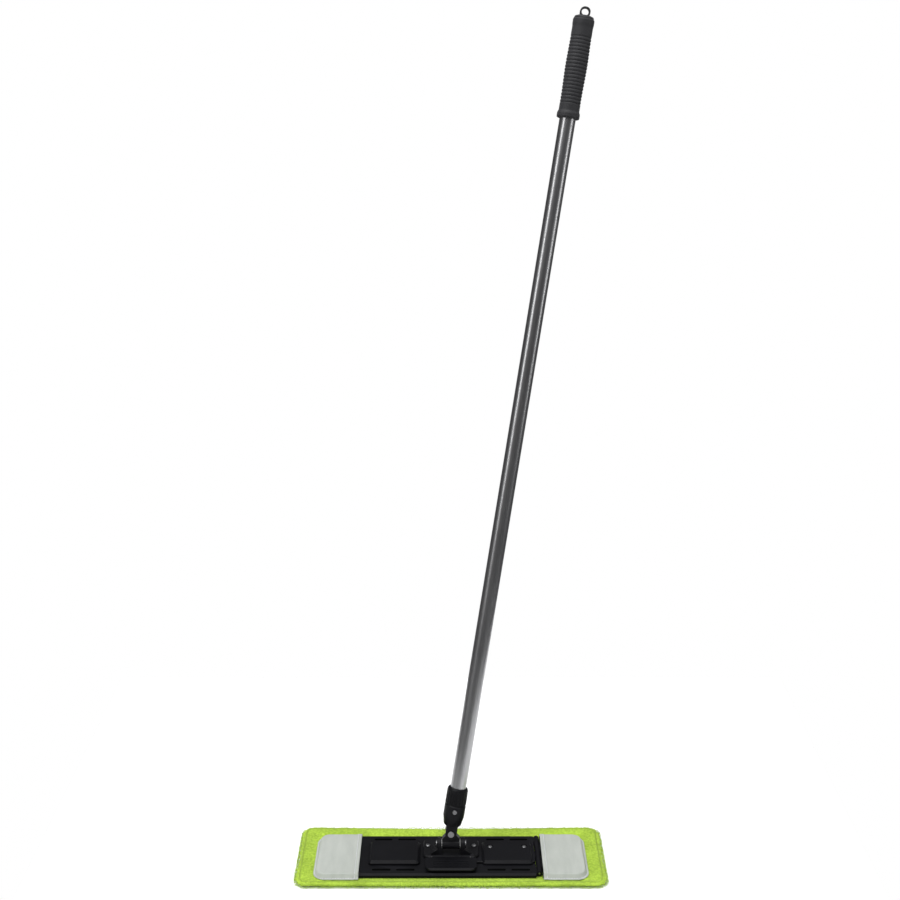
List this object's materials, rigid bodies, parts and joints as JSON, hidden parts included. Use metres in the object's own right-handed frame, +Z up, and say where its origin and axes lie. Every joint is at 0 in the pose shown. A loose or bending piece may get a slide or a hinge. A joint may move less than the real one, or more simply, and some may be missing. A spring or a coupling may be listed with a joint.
{
  "type": "flat mop",
  "caption": "Flat floor mop: pocketed microfibre pad on a plate with a folding end flap and a foot pedal, a universal swivel joint, and a straight tube handle with a grip.",
  "frame": {"origin": "on the floor, under the middle of the plate, where the pad's sole rests", "axes": "+X along the plate towards the folding end flap, +Y away from the user, +Z up"},
  "size_m": [0.44, 0.2796, 1.173],
  "materials": {
    "black_plastic": "satin",
    "joint_plastic": "satin",
    "grip_rubber": "matte",
    "microfibre": "matte",
    "pocket_fabric": "matte",
    "washer_plastic": "satin",
    "tube_metal": "satin",
    "steel": "satin"
  },
  "bodies": {
    "plate": {"base_plate": "black_plastic", "hub": "joint_plastic", "hub_screw_1": "steel", "hub_screw_2": "steel", "hub_screw_3": "steel", "hub_screw_4": "steel", "tilt_pin": "steel", "tilt_pin_clip": "steel", "tilt_washer_left": "washer_plastic", "tilt_washer_right": "washer_plastic", "pedal_pin": "steel", "pedal_spring": "steel", "flap_hinge_pin": "steel", "latch_cover": "black_plastic", "cover_screw_1": "steel", "cover_screw_2": "steel", "latch_spring": "steel", "pad_main": "microfibre", "pocket_left": "pocket_fabric"},
    "flap": {"end_flap": "black_plastic", "pad_end": "microfibre", "pocket_right": "pocket_fabric"},
    "pedal": {"release_pedal": "black_plastic"},
    "latch": {"latch_rod": "joint_plastic"},
    "swivel": {"swivel_block": "joint_plastic", "side_pin": "steel", "side_pin_clip": "steel", "side_washer_front": "washer_plastic", "side_washer_back": "washer_plastic"},
    "handle": {"socket": "joint_plastic", "socket_collar": "joint_plastic", "socket_screw": "steel", "tube_plug": "joint_plastic", "tube": "tube_metal", "grip": "grip_rubber", "hanger_cap": "grip_rubber"}
  },
  "joints": [
    {"name": "handle_tilt", "type": "hinge", "parent": "plate", "child": "swivel", "pos_m": [0, 0, 0.03], "axis": [-1, 0, 0], "range_deg": [-85, 65]},
    {"name": "handle_side", "type": "hinge", "parent": "swivel", "child": "handle", "pos_m": [0, 0.00313, 0.04773], "axis": [0, 0.9848, -0.1736], "range_deg": [-63.9, 46]},
    {"name": "flap_fold", "type": "hinge", "parent": "plate", "child": "flap", "pos_m": [0.124, 0, 0.0105], "axis": [0, -1, 0], "range_deg": [0, 70]},
    {"name": "pedal_press", "type": "hinge", "parent": "plate", "child": "pedal", "pos_m": [0, -0.014, 0.0162], "axis": [1, 0, 0], "range_deg": [0, 7], "stiffness_Nm_per_rad": 1, "springref_deg": -3.44, "deforming": ["pedal_spring"]},
    {"name": "latch_slide", "type": "slide", "parent": "plate", "child": "latch", "axis": [1, 0, 0], "range_m": [-0.002, 0], "deforming": ["latch_spring"]}
  ],
  "couplings": [
    {"joint": "latch_slide", "follows": "pedal_press", "m_per_rad": -0.016}
  ]
}
